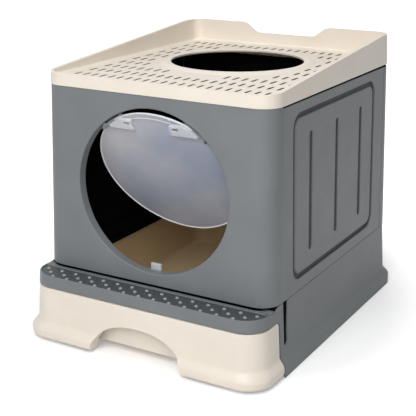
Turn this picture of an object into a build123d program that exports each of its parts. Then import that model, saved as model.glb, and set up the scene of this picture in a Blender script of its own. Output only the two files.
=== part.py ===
from build123d import *
import os
from math import cos, hypot, radians, sin, sqrt, tan

# Enclosed litter box: a moulded cabinet with a round flap door in front, a perforated lid with a round
# hatch, and a litter tray that pulls out like a drawer from under a nubbed step.
# Millimetres and degrees. Front is -Y, right is +X, up is +Z. The origin is on the floor, at the middle.

# Cabinet walls, measured outside where they stand on the base
body_width = 390
body_depth = 450
wall_height = 276.7
corner_radius = 31
wall = 3.2
wall_draft = 1.37

# Base, step and foot
seam_height = 109.5
base_setback = 0.8
base_wall = 3.5
side_gap = 0.8
front_gap = 4.5
step_depth = 39
step_corner_radius = 38
step_plate = 6.5
step_ramp = 22
step_ramp_setback = 4
band_height = 19
foot_flare = 11.5
foot_height = 11
flare_rise = 15
skirt_spread = 4

# Seat and upstand that locate the walls on the base
seat_setback = 1.6
seat_depth = 9
rim_clearance = 0.4
rim_wall = 3
front_rim_setback = 14
front_seat_setback = 30

# Nubbed tread let into the step
tread_recess = 3
tread_margin = 4.5
tread_ledge = 6
tread_thickness = 1.6
tread_clearance = 0.3
nub_radius = 3.2
nub_height = 2.2
nub_sides = 6
nub_taper = 32
nub_pitch = 25.7
nub_end_margin = 9
nub_row_margin = 4

# Grip slot in each side of the base, behind the end of the drawer front
grip_slot_width = 12
grip_slot_foot = 42
grip_slot_setback = 18

# Runners inside the base that carry the tray by its rim
runner_thickness = 5
runner_side_gap = 0.8
runner_gap = 0.3

# Round door in the front wall
door_sill = 17
door_head = 13
collar_wall = 3.2
collar_depth = 18
door_edge = 1.6
door_edge_slope = 45

# Side panels let into windows of the cabinet
window_sill = 17.5
window_head = 16.7
window_front = 68
window_back = 81
window_radius = 23
channel_width = 8
panel_wall = 2.4
panel_lap = 6
panel_gap = 3
panel_edge = 1.2
groove_end_margin = 25
groove_width = 11
groove_pitch = 92
groove_depth = 2
groove_count = 3

# Back panel and its lap joint with the cabinet
back_seam = 42
back_seam_gap = 0.6
lap_length = 12
lap_wall = 2.4

# Lid
lid_gap = 0.3
lid_height = 48
lid_proud = 1
lid_draft = 2.2
lid_lip_rise = 17.5
lid_slope_end = 42
lid_skirt = 4.6
lid_rim_foot = 8
lid_rim_draft = 1
lid_spigot_wall = 2.4
lid_clearance = 0.5
deck_rise = 11.5
deck_thickness = 3
notch_top_width = 154
notch_floor_width = 110
notch_depth = 17
notch_radius = 7

# Round hatch and the drain slots of the deck
hatch_radius = 105
hatch_shift = 32
hatch_ring_width = 20
hatch_ring_crown = 6
hatch_ring_rise = 3.4
slot_length = 21
slot_width = 4
slot_pitch_across = 15
slot_pitch_along = 38.5
slot_edge_margin = 14
slot_ring_margin = 1

# Drawer: litter tray and its front
drawer_gap = 1
drawer_end = 27
drawer_end_gap = 2.4
drawer_floor_gap = 0.4
drawer_wall = 3.2
drawer_top_plate = 3
drawer_corner_radius = 8
arch_width = 158
arch_height = 52
arch_shoulder_share = 0.66
arch_shoulder_height_share = 0.82
arch_foot_height_share = 0.28
tray_floor_height = 14
tray_floor = 3
tray_wall = 2.6
tray_head_gap = 1.5
tray_rim = 2.5
tray_rim_gap = 0.2
tray_side_gap = 7.2
tray_draft = 13.3
tray_front_draft = 3
tray_front_reach = 26
tray_back_setback = 18
tray_back_rim = 8
tray_corner_radius = 26

# Flap door on its hinge, stored swung inwards
flap_gap = 10.4
flap_thickness = 2
flap_bead_width = 2.4
flap_bead_rise = 0.8
flap_band_width = 10
flap_tilt = 28.5
flap_offset = 2.6
hinge_drop = 25
hinge_setback = 6.5
pin_radius = 1.6
pin_running_gap = 0.05
pin_end_gap = 2
lug_inner = 30
lug_width = 36
lug_drop = 5
lug_rise = 12
lug_front = 3.2
lug_slot_width = 10
lug_slot_height = 5
lug_slot_inset = 6
bracket_width = 10
bracket_drop = 7
bracket_half_depth = 6
bracket_side_gap = 1.5
flap_notch_gap = 1.5
flap_notch_clearance = 2

# Catch on the lower rim of the door
catch_shift = -7
catch_width = 16
catch_clearance = 1.2
catch_thickness = 3
catch_saddle_depth = 8
catch_saddle_thickness = 2

# How far each cutting shape runs past the face that it cuts
overrun = 2

os.makedirs("parts", exist_ok=True)

# Heights and places that several pieces share
foot_spread = foot_flare + base_setback
flare_height = foot_height + flare_rise
side_top = seam_height - side_gap
step_top = seam_height - front_gap
band_foot = step_top - band_height
wall_top = seam_height + wall_height
lid_seam_height = wall_top + lid_gap
lid_top = lid_seam_height + lid_height
deck_height = lid_seam_height + deck_rise
rim_top = seam_height + window_sill - panel_lap - panel_gap
body_y = (step_depth + foot_spread - foot_flare) / 2
wall_front = body_y - body_depth / 2
wall_back = body_y + body_depth / 2
step_front = wall_front - step_depth
drawer_end_y = wall_front + drawer_end
back_seam_y = wall_back - back_seam
door_radius = (wall_height - door_sill - door_head) / 2
door_height = seam_height + door_sill + door_radius
window_width = body_depth - window_front - window_back
window_height = wall_height - window_sill - window_head
window_y = wall_front + window_front + window_width / 2
window_z = seam_height + window_sill + window_height / 2
hatch_y = body_y + hatch_shift
flap_radius = door_radius - flap_gap
hinge_rise = flap_radius - hinge_drop
base_inner = body_width / 2 - base_setback - base_wall
tray_rim_height = band_foot - tray_head_gap
tray_half = base_inner - tray_side_gap
lean_share = tan(radians(wall_draft))


def lean(height):
    """How far a cabinet wall has leaned in at a height."""
    return (height - seam_height) * lean_share


def wall_rectangle(height, inset=0):
    """Outline of the cabinet walls at a height, drawn in by an inset, before its corners are rounded."""
    shrink = 2 * (lean(height) + inset)
    with BuildSketch(Plane.XY.offset(height)) as outline:
        with Locations((0, body_y)):
            Rectangle(body_width - shrink, body_depth - shrink)
    return outline.sketch


def wall_outline(height, inset=0):
    """Rounded outline of the cabinet walls at a height, drawn in by an inset."""
    shrink = 2 * (lean(height) + inset)
    with BuildSketch(Plane.XY.offset(height)) as outline:
        with Locations((0, body_y)):
            RectangleRounded(body_width - shrink, body_depth - shrink, corner_radius - inset)
    return outline.sketch


def footprint(level, spread, inset=0):
    """Outline of the base and the drawer front at a level, spread out from the line of the step."""
    reach = spread - inset
    half_width = body_width / 2 - base_setback + reach
    front = step_front - reach
    back = wall_back - base_setback + reach
    with BuildSketch(Plane.XY.offset(level)) as outline:
        with Locations((0, (front + back) / 2)):
            Rectangle(2 * half_width, back - front)
        flared = max(spread - skirt_spread, 0) - inset
        fillet(outline.vertices().group_by(Axis.Y)[0], step_corner_radius + flared)
        fillet(outline.vertices().group_by(Axis.Y)[-1], corner_radius + flared)
    return outline.sketch


def skirt(top, inset=0, foot=0, mode=Mode.ADD):
    """Solid inside the flared skirt: an upright foot, a flare and a drafted wall up to a level."""
    top_spread = skirt_spread * (side_top - top) / (side_top - flare_height)
    foot_line = footprint(foot_height, foot_spread, inset)
    flare_line = footprint(flare_height, skirt_spread, inset)
    extrude(footprint(foot, foot_spread, inset), amount=foot_height - foot, mode=mode)
    loft([foot_line, flare_line], ruled=True, mode=mode)
    loft([flare_line, footprint(top, top_spread, inset)], ruled=True, mode=mode)


def wall_tube():
    """The four drafted walls of the cabinet, before they are parted at the back seam."""
    add(wall_block.part)
    add(wall_core.part, mode=Mode.SUBTRACT)


def wall_ring(height, level, outer_inset, inner_inset):
    """Ring between two insets of the cabinet outline at a height, drawn on a level of its own."""
    drop = Location((0, 0, -height))
    with BuildSketch(Plane.XY.offset(level)) as ring:
        add(wall_outline(height, outer_inset).moved(drop))
        add(wall_outline(height, inner_inset).moved(drop), mode=Mode.SUBTRACT)
    return ring.sketch


def lid_outline(height, inset=0):
    """Rounded outline of the lid at a height, drawn in by an inset."""
    rise = height - lid_seam_height
    drawn_in = lean(lid_seam_height) - lid_proud + rise * tan(radians(lid_draft)) + inset
    with BuildSketch(Plane.XY.offset(height)) as outline:
        with Locations((0, body_y)):
            RectangleRounded(body_width - 2 * drawn_in, body_depth - 2 * drawn_in, corner_radius - inset)
    return outline.sketch


def side_plane(side):
    """Plane outside a side wall, at the middle of its window; side is 1 at the right, -1 at the left."""
    return Plane(
        origin=(side * (body_width / 2 - lean(window_z)), window_y, window_z),
        x_dir=(0, side, 0),
        z_dir=(side * cos(radians(wall_draft)), 0, sin(radians(wall_draft))),
    )


door_plane = Plane(
    origin=(0, wall_front + lean(door_height), door_height),
    x_dir=(1, 0, 0),
    z_dir=(0, -cos(radians(wall_draft)), sin(radians(wall_draft))),
)
back_plane = Plane(
    origin=(0, wall_back - lean(window_z), window_z),
    x_dir=(-1, 0, 0),
    z_dir=(0, cos(radians(wall_draft)), sin(radians(wall_draft))),
)
hinge_point = door_plane.from_local_coords(Vector(0, hinge_rise, -hinge_setback))
flap_plane = Plane(
    origin=hinge_point,
    x_dir=(1, 0, 0),
    z_dir=(0, -cos(radians(flap_tilt)), -sin(radians(flap_tilt))),
)
hinge_plane = Plane(origin=hinge_point, x_dir=(0, 1, 0), z_dir=(1, 0, 0))
print("hinge axis through", hinge_point, "mm, along X")

# The cabinet as a drafted block with rounded corners, and the room inside its walls
with BuildPart() as wall_block:
    extrude(wall_rectangle(seam_height), amount=wall_height, taper=wall_draft)
    fillet(wall_block.edges().group_by(Axis.Z)[1], corner_radius)
with BuildPart() as wall_core:
    extrude(wall_rectangle(seam_height - overrun, wall), amount=wall_height + 2 * overrun, taper=wall_draft)
    fillet(wall_core.edges().group_by(Axis.Z)[1], corner_radius - wall)

# Cabinet shell: the front wall with its door collar, and both side walls with their windows, in one moulding
with BuildPart() as cabinet_shell:
    wall_tube()
    split(bisect_by=Plane(origin=(0, back_seam_y, 0), z_dir=(0, -1, 0)), keep=Keep.TOP)
    with BuildSketch(door_plane):
        Circle(door_radius + collar_wall)
    extrude(amount=-collar_depth)
    with BuildSketch(door_plane):
        Circle(door_radius)
    extrude(amount=collar_depth + overrun, both=True, mode=Mode.SUBTRACT)
    for side in (1, -1):
        with BuildSketch(side_plane(side)):
            RectangleRounded(window_width, window_height, window_radius)
        extrude(amount=wall + overrun, both=True, mode=Mode.SUBTRACT)
    with BuildSketch(door_plane):
        Circle(door_radius + door_edge)
    extrude(amount=-door_edge, taper=door_edge_slope, mode=Mode.SUBTRACT)
cabinet_shell.part.label = "cabinet_shell"
export_step(cabinet_shell.part, "parts/cabinet_shell.step")

# Side panels: a raised pillow stands in each window inside a channel, on a flange that laps behind the wall
pillow_width = window_width - 2 * channel_width
pillow_height = window_height - 2 * channel_width
pillow_radius = window_radius - channel_width
groove_length = pillow_height - 2 * groove_end_margin
for side, name in ((1, "side_panel_right"), (-1, "side_panel_left")):
    face = side_plane(side)
    with BuildPart() as side_panel:
        with BuildSketch(face.offset(-wall)):
            Rectangle(window_width + 2 * panel_lap, window_height + 2 * panel_lap)
        extrude(amount=-panel_wall)
        with BuildSketch(face.offset(-wall)):
            RectangleRounded(pillow_width, pillow_height, pillow_radius)
        extrude(amount=wall)
        chamfer(side_panel.faces().sort_by(Axis.X)[-1 if side > 0 else 0].edges(), panel_edge)
        with BuildSketch(face.offset(-wall - panel_wall)):
            hollow_width = pillow_width - 2 * panel_wall
            hollow_height = pillow_height - 2 * panel_wall
            RectangleRounded(hollow_width, hollow_height, pillow_radius - panel_wall)
        extrude(amount=wall, mode=Mode.SUBTRACT)
        with BuildSketch(face.offset(-panel_wall)):
            with GridLocations(groove_pitch, 0, groove_count, 1):
                Rectangle(groove_width + panel_wall, groove_length + panel_wall)
        extrude(amount=-groove_depth)
        with BuildSketch(face):
            with GridLocations(groove_pitch, 0, groove_count, 1):
                SlotOverall(groove_length, groove_width, rotation=90)
        extrude(amount=-groove_depth, mode=Mode.SUBTRACT)
    side_panel.part.label = name
    export_step(side_panel.part, f"parts/{name}.step")

# Back panel: the back wall and both back corners, lapped behind the ends of the side walls
with BuildPart() as back_panel:
    wall_tube()
    split(bisect_by=Plane(origin=(0, back_seam_y + back_seam_gap, 0), z_dir=(0, 1, 0)), keep=Keep.TOP)
    with BuildSketch(back_plane):
        with GridLocations(groove_pitch, 0, groove_count, 1):
            Rectangle(groove_width + panel_wall, groove_length + panel_wall)
    extrude(amount=-groove_depth - panel_wall)
    with BuildSketch(back_plane):
        with GridLocations(groove_pitch, 0, groove_count, 1):
            SlotOverall(groove_length, groove_width, rotation=90)
    extrude(amount=-groove_depth, mode=Mode.SUBTRACT)
    lap_front = back_seam_y - lap_length
    lap_back = back_seam_y + lap_length
    for side in (1, -1):
        inner_face = side_plane(side).offset(-wall)
        with BuildSketch(inner_face):
            with Locations((side * ((lap_front + lap_back) / 2 - window_y), 0)):
                Rectangle(lap_back - lap_front, window_height + 2 * panel_lap)
        extrude(amount=-lap_wall)
back_panel.part.label = "back_panel"
export_step(back_panel.part, "parts/back_panel.step")

# Base frame: a flared skirt round three sides, with the step across the front, the seat for the walls
# and the runners for the tray
recess_front = step_front + tread_margin
recess_back = wall_front - tread_ledge
bridge_back = wall_front + front_rim_setback + rim_wall
rim_outset = wall + rim_clearance
runner_top = tray_rim_height - tray_rim - runner_gap
grip_slot_y = drawer_end_y + grip_slot_setback
rim_face = body_width / 2 - lean(rim_top) - rim_outset


def skirt_half_width(level):
    """Half the outside width of the skirt between its flare and its top."""
    fallen_share = (side_top - level) / (side_top - flare_height)
    return body_width / 2 - base_setback + skirt_spread * fallen_share


def tread_outline(level, clearance=0):
    """Outline of the tread recess: straight at the cabinet, and following the step's edge round its front."""
    with BuildSketch(Plane.XY.offset(level)) as outline:
        add(footprint(0, 0, tread_margin + clearance))
        with Locations((0, recess_back - clearance)):
            Rectangle(body_width, step_depth, align=(Align.CENTER, Align.MAX), mode=Mode.INTERSECT)
    return outline.sketch


with BuildPart() as base_frame:
    skirt(side_top)
    skirt(step_top - step_plate, base_wall, -overrun, Mode.SUBTRACT)
    # the well over the tray, open to the cabin above
    with BuildSketch(Plane.XY.offset(step_top - step_plate - overrun)) as well:
        well_back = wall_back - base_setback - base_wall
        with Locations((0, (bridge_back + well_back) / 2)):
            Rectangle(2 * base_inner, well_back - bridge_back)
        fillet(well.vertices().group_by(Axis.Y)[-1], corner_radius - base_wall)
    extrude(amount=side_top - step_top + step_plate + 2 * overrun, mode=Mode.SUBTRACT)
    # the step lies lower than the sides, and ramps up to them under the cabinet's front corners
    with BuildSketch(Plane.YZ):
        ramp_foot = wall_front + step_ramp_setback
        ramp_head = ramp_foot + step_ramp
        with BuildLine():
            Polyline(
                (step_front - foot_spread, step_top),
                (ramp_foot, step_top),
                (ramp_head, side_top),
                (ramp_head, side_top + overrun),
                (step_front - foot_spread, side_top + overrun),
                close=True,
            )
        make_face()
    extrude(amount=body_width, both=True, mode=Mode.SUBTRACT)
    # seat for the walls at the sides and back, and the upstand that locates them
    with BuildSketch(Plane.XY.offset(side_top - seat_depth)):
        add(wall_ring(seam_height, 0, seat_setback, rim_outset + rim_wall))
        with Locations((0, wall_front + front_seat_setback)):
            Rectangle(body_width, body_depth, align=(Align.CENTER, Align.MIN), mode=Mode.INTERSECT)
    extrude(amount=seam_height - side_top + seat_depth)
    extrude(
        wall_ring(rim_top, side_top - seat_depth, rim_outset, rim_outset + rim_wall),
        amount=rim_top - side_top + seat_depth,
    )
    # shadow gap under the front wall, with the upstand set back behind it
    gap_half = body_width / 2 - corner_radius - rim_wall
    with BuildSketch(Plane.XY.offset(step_top)):
        with Locations((0, wall_front + front_rim_setback)):
            Rectangle(2 * gap_half, front_rim_setback + step_depth, align=(Align.CENTER, Align.MAX))
    extrude(amount=rim_top - step_top + overrun, mode=Mode.SUBTRACT)
    with BuildSketch(Plane.XY.offset(step_top - step_plate)):
        with Locations((0, wall_front + front_rim_setback)):
            Rectangle(2 * (gap_half + rim_wall), rim_wall, align=(Align.CENTER, Align.MIN))
    extrude(amount=rim_top - step_top + step_plate)
    # bay for the drawer front, with rounded upper corners at its ends
    with BuildSketch(Plane.YZ) as bay:
        bay_front = step_front - foot_spread - overrun
        with Locations(((bay_front + drawer_end_y) / 2, (band_foot - overrun) / 2)):
            Rectangle(drawer_end_y - bay_front, band_foot + overrun)
        bay_corner = bay.vertices().group_by(Axis.X)[-1].sort_by(Axis.Y)[-1]
        fillet(bay_corner, drawer_corner_radius)
    extrude(amount=body_width, both=True, mode=Mode.SUBTRACT)
    # recess for the tread
    extrude(tread_outline(step_top - tread_recess), amount=tread_recess + overrun, mode=Mode.SUBTRACT)
    # runners along both sides
    runner_inner = tray_half + runner_side_gap
    runner_outer = skirt_half_width(runner_top) - base_wall / 2
    runner_back = wall_back - base_setback - corner_radius
    for side in (1, -1):
        with BuildSketch(Plane.XY.offset(runner_top - runner_thickness)):
            with Locations((side * (runner_outer + runner_inner) / 2, (drawer_end_y + runner_back) / 2)):
                Rectangle(runner_outer - runner_inner, runner_back - drawer_end_y)
        extrude(amount=runner_thickness)
    # round-footed grip slots through the skirt, up to the cabinet
    for side in (1, -1):
        slot_plane = Plane(origin=(side * rim_face, grip_slot_y, 0), x_dir=(0, 1, 0), z_dir=(side, 0, 0))
        with BuildSketch(slot_plane):
            foot_arc_height = side * (grip_slot_foot + grip_slot_width / 2)
            with Locations((0, foot_arc_height)):
                Circle(grip_slot_width / 2)
                Rectangle(
                    grip_slot_width,
                    side_top - grip_slot_foot,
                    align=(Align.CENTER, Align.MIN if side > 0 else Align.MAX),
                )
        extrude(amount=base_wall + foot_spread, mode=Mode.SUBTRACT)
base_frame.part.label = "base_frame"
export_step(base_frame.part, "parts/base_frame.step")

# Step tread: a pad with staggered rows of nubs, pressed into the recess of the step
with BuildPart() as step_tread:
    extrude(tread_outline(step_top - tread_recess, tread_clearance), amount=tread_thickness)
    nub_foot = step_top - tread_recess + tread_thickness
    tread_half = body_width / 2 - base_setback - tread_margin
    first_row = recess_back - nub_row_margin
    last_row = recess_front + nub_row_margin
    nub_count = int(2 * (tread_half - nub_end_margin) / nub_pitch) + 1
    with BuildSketch(Plane.XY.offset(nub_foot)):
        for row, row_y in enumerate((first_row, (first_row + last_row) / 2, last_row)):
            with Locations((0, row_y)):
                with GridLocations(nub_pitch, 0, nub_count - row, 1):
                    RegularPolygon(nub_radius, nub_sides)
    extrude(amount=nub_height, taper=nub_taper)
step_tread.part.label = "step_tread"
export_step(step_tread.part, "parts/step_tread.step")

# Lid: a drafted rim that rises to the back, round a perforated deck with a raised ring at the hatch
lid_drawn_in = lean(lid_seam_height) - lid_proud
lid_front = wall_front + lid_drawn_in
lid_lip_height = lid_seam_height + lid_lip_rise
lid_spigot_depth = window_head - panel_lap - panel_gap
lid_back = wall_back - lid_drawn_in
ring_outer = hatch_radius + hatch_ring_width
with BuildPart() as lid:
    with BuildSketch(Plane.XY.offset(lid_seam_height)):
        with Locations((0, body_y)):
            Rectangle(body_width - 2 * lid_drawn_in, body_depth - 2 * lid_drawn_in)
    extrude(amount=lid_height, taper=lid_draft)
    fillet(lid.edges().group_by(Axis.Z)[1], corner_radius)
    # the rim's top slopes from the low front lip up to the back
    with BuildSketch(Plane.YZ):
        with BuildLine():
            Polyline(
                (lid_front - overrun, lid_lip_height),
                (lid_front, lid_lip_height),
                (lid_back - lid_slope_end, lid_top),
                (lid_back - lid_slope_end, lid_top + overrun),
                (lid_front - overrun, lid_top + overrun),
                close=True,
            )
        make_face()
    extrude(amount=body_width, both=True, mode=Mode.SUBTRACT)
    well_top = lid_top + overrun
    well_spread = (well_top - deck_height) * (tan(radians(lid_draft)) + tan(radians(lid_rim_draft)))
    well_mouth = lid_outline(well_top, lid_rim_foot - well_spread)
    loft([lid_outline(deck_height, lid_rim_foot), well_mouth], ruled=True, mode=Mode.SUBTRACT)
    # notch in the middle of the back rim
    with BuildSketch(Plane.XZ.offset(-lid_back - overrun)) as notch:
        with BuildLine():
            Polyline(
                (-notch_floor_width / 2, lid_top - notch_depth),
                (notch_floor_width / 2, lid_top - notch_depth),
                (notch_top_width / 2, lid_top),
                (notch_top_width / 2, lid_top + overrun),
                (-notch_top_width / 2, lid_top + overrun),
                (-notch_top_width / 2, lid_top),
                close=True,
            )
        make_face()
        fillet(notch.vertices().group_by(Axis.Y)[0], notch_radius)
    extrude(amount=2 * lid_rim_foot + 2 * overrun, mode=Mode.SUBTRACT)
    # hollow underside, and the spigot that drops inside the walls
    under_height = deck_height - deck_thickness - lid_seam_height
    extrude(lid_outline(lid_seam_height, lid_skirt), amount=under_height, mode=Mode.SUBTRACT)
    spigot_inset = wall + lid_clearance
    spigot_foot = lid_seam_height - lid_spigot_depth
    extrude(
        wall_ring(lid_seam_height, spigot_foot, spigot_inset, spigot_inset + lid_spigot_wall),
        amount=lid_spigot_depth + under_height,
    )
    # raised ring round the hatch
    with BuildSketch(Plane(origin=(0, hatch_y, 0), x_dir=(1, 0, 0), z_dir=(0, -1, 0))):
        with BuildLine():
            Polyline(
                (ring_outer, deck_height),
                (ring_outer, deck_height - deck_thickness),
                (hatch_radius, deck_height - deck_thickness),
                (hatch_radius, deck_height + hatch_ring_rise),
                (hatch_radius + hatch_ring_crown, deck_height + hatch_ring_rise),
                close=True,
            )
        make_face()
    revolve(axis=Axis((0, hatch_y, 0), (0, 0, 1)))
    with BuildSketch(Plane.XY.offset(deck_height - deck_thickness)):
        with Locations((0, hatch_y)):
            Circle(hatch_radius)
    extrude(amount=deck_thickness + hatch_ring_rise, mode=Mode.SUBTRACT)
    # drain slots, left out where the ring takes their place
    deck_half = lid_outline(deck_height, lid_rim_foot).bounding_box().size / 2
    reach_across = deck_half.X - slot_edge_margin
    reach_along = deck_half.Y - slot_edge_margin - slot_length / 2
    slot_columns = 2 * int(reach_across / slot_pitch_across + 1 / 2)
    slot_rows = 2 * int(reach_along / slot_pitch_along + 1 / 2)
    slot_places = []
    for place in GridLocations(slot_pitch_across, slot_pitch_along, slot_columns, slot_rows):
        across = place.position.X
        along = body_y + place.position.Y
        nearest = max(abs(along - hatch_y) - slot_length / 2, 0)
        if hypot(across, nearest) > ring_outer + slot_ring_margin:
            slot_places.append((across, along))
    with BuildSketch(Plane.XY.offset(deck_height - deck_thickness)):
        with Locations(slot_places):
            Rectangle(slot_width, slot_length)
    extrude(amount=deck_thickness, mode=Mode.SUBTRACT)
lid.part.label = "lid"
export_step(lid.part, "parts/lid.step")

# Litter tray: a drafted pan that hangs by its side rims on the runners
tray_front = wall_front - tray_front_reach
tray_back = wall_back - tray_back_setback
tray_rim_half = base_inner - tray_rim_gap


def tray_outline(height, inset=0):
    """Outline of the pan at a height, drawn in by an inset; its front wall stands steeper than the rest."""
    fall = tray_rim_height - height
    drawn_in = fall * tan(radians(tray_draft)) + inset
    front = tray_front + fall * tan(radians(tray_front_draft)) + inset
    back = tray_back - drawn_in
    with BuildSketch(Plane.XY.offset(height)) as outline:
        with Locations((0, (front + back) / 2)):
            RectangleRounded(2 * (tray_half - drawn_in), back - front, tray_corner_radius - inset)
    return outline.sketch


with BuildPart() as litter_tray:
    loft([tray_outline(tray_floor_height), tray_outline(tray_rim_height)], ruled=True)
    with BuildSketch(Plane.XY.offset(tray_rim_height - tray_rim)) as tray_flange:
        with Locations((0, tray_front)):
            flange_depth = tray_back + tray_back_rim - tray_front
            Rectangle(2 * tray_rim_half, flange_depth, align=(Align.CENTER, Align.MIN))
        fillet(tray_flange.vertices().group_by(Axis.Y)[-1], tray_corner_radius)
    extrude(amount=tray_rim)
    loft(
        [
            tray_outline(tray_floor_height + tray_floor, tray_wall),
            tray_outline(tray_rim_height + overrun, tray_wall),
        ],
        ruled=True,
        mode=Mode.SUBTRACT,
    )
litter_tray.part.label = "litter_tray"
export_step(litter_tray.part, "parts/litter_tray.step")

# Drawer front: a flared skirt that wraps both front corners, with an arched finger hole at the floor
drawer_top = band_foot - drawer_gap
with BuildPart() as drawer_front:
    skirt(drawer_top, 0, drawer_floor_gap)
    skirt(drawer_top - drawer_top_plate, drawer_wall, -overrun, Mode.SUBTRACT)
    # the sides end short of the base, rounded at the top like the bay
    with BuildSketch(Plane.YZ) as ends:
        end_y = drawer_end_y - drawer_end_gap
        end_front = step_front - foot_spread - overrun
        with Locations(((end_front + end_y) / 2, (drawer_top - overrun) / 2)):
            Rectangle(end_y - end_front, drawer_top + overrun)
        end_corner = ends.vertices().group_by(Axis.X)[-1].sort_by(Axis.Y)[-1]
        fillet(end_corner, drawer_corner_radius - drawer_gap)
    extrude(amount=body_width, both=True, mode=Mode.INTERSECT)
    # the top plate stops at the tray
    with BuildSketch(Plane.XY.offset(drawer_top - drawer_top_plate)):
        with Locations((0, tray_front)):
            Rectangle(2 * (tray_rim_half + drawer_gap), body_depth, align=(Align.CENTER, Align.MIN))
    extrude(amount=drawer_top_plate + overrun, mode=Mode.SUBTRACT)
    # arched finger hole
    shoulder_x = arch_width / 2 * arch_shoulder_share
    shoulder_z = arch_height * arch_shoulder_height_share
    arch_foot_z = arch_height * arch_foot_height_share
    with BuildSketch(Plane.XZ.offset(-step_front - base_wall)):
        with BuildLine():
            crown = ThreePointArc((-shoulder_x, shoulder_z), (0, arch_height), (shoulder_x, shoulder_z))
            TangentArc((shoulder_x, shoulder_z), (arch_width / 2, arch_foot_z), tangent=crown % 1)
            TangentArc((-shoulder_x, shoulder_z), (-arch_width / 2, arch_foot_z), tangent=-(crown % 0))
            Polyline(
                (arch_width / 2, arch_foot_z),
                (arch_width / 2, -overrun),
                (-arch_width / 2, -overrun),
                (-arch_width / 2, arch_foot_z),
            )
        make_face()
    extrude(amount=step_depth, both=True, mode=Mode.SUBTRACT)
drawer_front.part.label = "drawer_front"
export_step(drawer_front.part, "parts/drawer_front.step")

# Flap door: a clear disc with a bead round its edge and a wider band over the hinge, cut back at the
# ends of the hinge
disc_face = flap_plane.offset(-flap_offset)
lug_outer = lug_inner + lug_width
flap_notch_inner = lug_outer + flap_notch_gap
flap_notch_drop = hypot(bracket_drop, bracket_half_depth) + flap_notch_clearance
bracket_inner = flap_notch_inner + bracket_side_gap
bracket_outer = bracket_inner + bracket_width
with BuildPart() as flap_door:
    with BuildSketch(disc_face):
        with Locations((0, -hinge_rise)):
            Circle(flap_radius)
    extrude(amount=-flap_thickness)
    with BuildSketch(disc_face):
        with Locations((0, -hinge_rise)):
            Circle(flap_radius)
            Circle(flap_radius - flap_bead_width, mode=Mode.SUBTRACT)
    extrude(amount=flap_bead_rise)
    with BuildSketch(disc_face) as band:
        with Locations((0, -hinge_rise)):
            Circle(flap_radius)
            Circle(flap_radius - flap_band_width, mode=Mode.SUBTRACT)
        with Locations((0, 0)):
            Rectangle(2 * lug_inner, flap_radius, align=(Align.CENTER, Align.MIN), mode=Mode.INTERSECT)
    extrude(amount=flap_bead_rise)
    for side in (1, -1):
        with BuildSketch(disc_face):
            with Locations((side * (flap_notch_inner + flap_radius / 2), flap_radius / 2 - flap_notch_drop)):
                Rectangle(flap_radius, flap_radius)
        extrude(amount=flap_thickness + overrun, both=True, mode=Mode.SUBTRACT)
flap_door.part.label = "flap_door"
export_step(flap_door.part, "parts/flap_door.step")

# Hinge lugs on the flap, the pins that they hold, and the brackets on the door collar that the pins turn in
pin_outer = bracket_outer - pin_end_gap
catch_height = flap_gap - catch_clearance
for side, hand in ((1, "right"), (-1, "left")):
    with BuildPart() as flap_lug:
        with BuildSketch(disc_face):
            with Locations((side * (lug_inner + lug_outer) / 2, (lug_rise - lug_drop) / 2)):
                Rectangle(lug_outer - lug_inner, lug_rise + lug_drop)
            with Locations((0, -hinge_rise)):
                Circle(flap_radius - flap_bead_width, mode=Mode.INTERSECT)
        extrude(amount=flap_offset + lug_front)
        with BuildSketch(flap_plane):
            with Locations((side * (lug_inner + lug_slot_inset + lug_slot_width / 2), 0)):
                Rectangle(lug_slot_width, lug_slot_height)
        extrude(amount=lug_front + overrun, mode=Mode.SUBTRACT)
        with BuildSketch(hinge_plane.offset(side * lug_inner)):
            Circle(pin_radius)
        extrude(amount=side * (lug_outer + overrun), mode=Mode.SUBTRACT)
    flap_lug.part.label = f"flap_lug_{hand}"
    export_step(flap_lug.part, f"parts/flap_lug_{hand}.step")

    with BuildPart() as hinge_pin:
        with BuildSketch(hinge_plane.offset(side * lug_inner)):
            Circle(pin_radius)
        extrude(amount=side * (pin_outer - lug_inner))
    hinge_pin.part.label = f"hinge_pin_{hand}"
    export_step(hinge_pin.part, f"parts/hinge_pin_{hand}.step")

    with BuildPart() as hinge_bracket:
        with BuildSketch(door_plane.offset(-hinge_setback + bracket_half_depth)):
            with Locations((side * (bracket_inner + bracket_outer) / 2, hinge_rise - bracket_drop)):
                Rectangle(bracket_outer - bracket_inner, door_radius, align=(Align.CENTER, Align.MIN))
            Circle(door_radius, mode=Mode.INTERSECT)
        extrude(amount=-2 * bracket_half_depth)
        with BuildSketch(hinge_plane.offset(side * (bracket_inner - overrun))):
            Circle(pin_radius + pin_running_gap)
        extrude(amount=side * (bracket_outer - bracket_inner + 2 * overrun), mode=Mode.SUBTRACT)
    hinge_bracket.part.label = f"hinge_bracket_{hand}"
    export_step(hinge_bracket.part, f"parts/hinge_bracket_{hand}.step")

# Catch: a small clear clip on the inner end of the collar, just under the path of the flap's edge
catch_seat = -sqrt(door_radius**2 - (abs(catch_shift) + catch_width / 2) ** 2)
with BuildPart() as door_catch:
    with BuildSketch(door_plane.offset(-collar_depth)):
        with Locations((catch_shift, -door_radius - collar_wall)):
            Rectangle(catch_width, collar_wall + catch_height, align=(Align.CENTER, Align.MIN))
    extrude(amount=-catch_thickness)
    with BuildSketch(door_plane.offset(-collar_depth)):
        with Locations((catch_shift, catch_seat)):
            Rectangle(catch_width, catch_saddle_thickness, align=(Align.CENTER, Align.MIN))
    extrude(amount=catch_saddle_depth)
door_catch.part.label = "door_catch"
export_step(door_catch.part, "parts/door_catch.step")
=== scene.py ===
from math import atan, atan2, cos, hypot, pi, radians, sin

import bmesh
import bpy
from mathutils import Matrix, Vector


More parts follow.
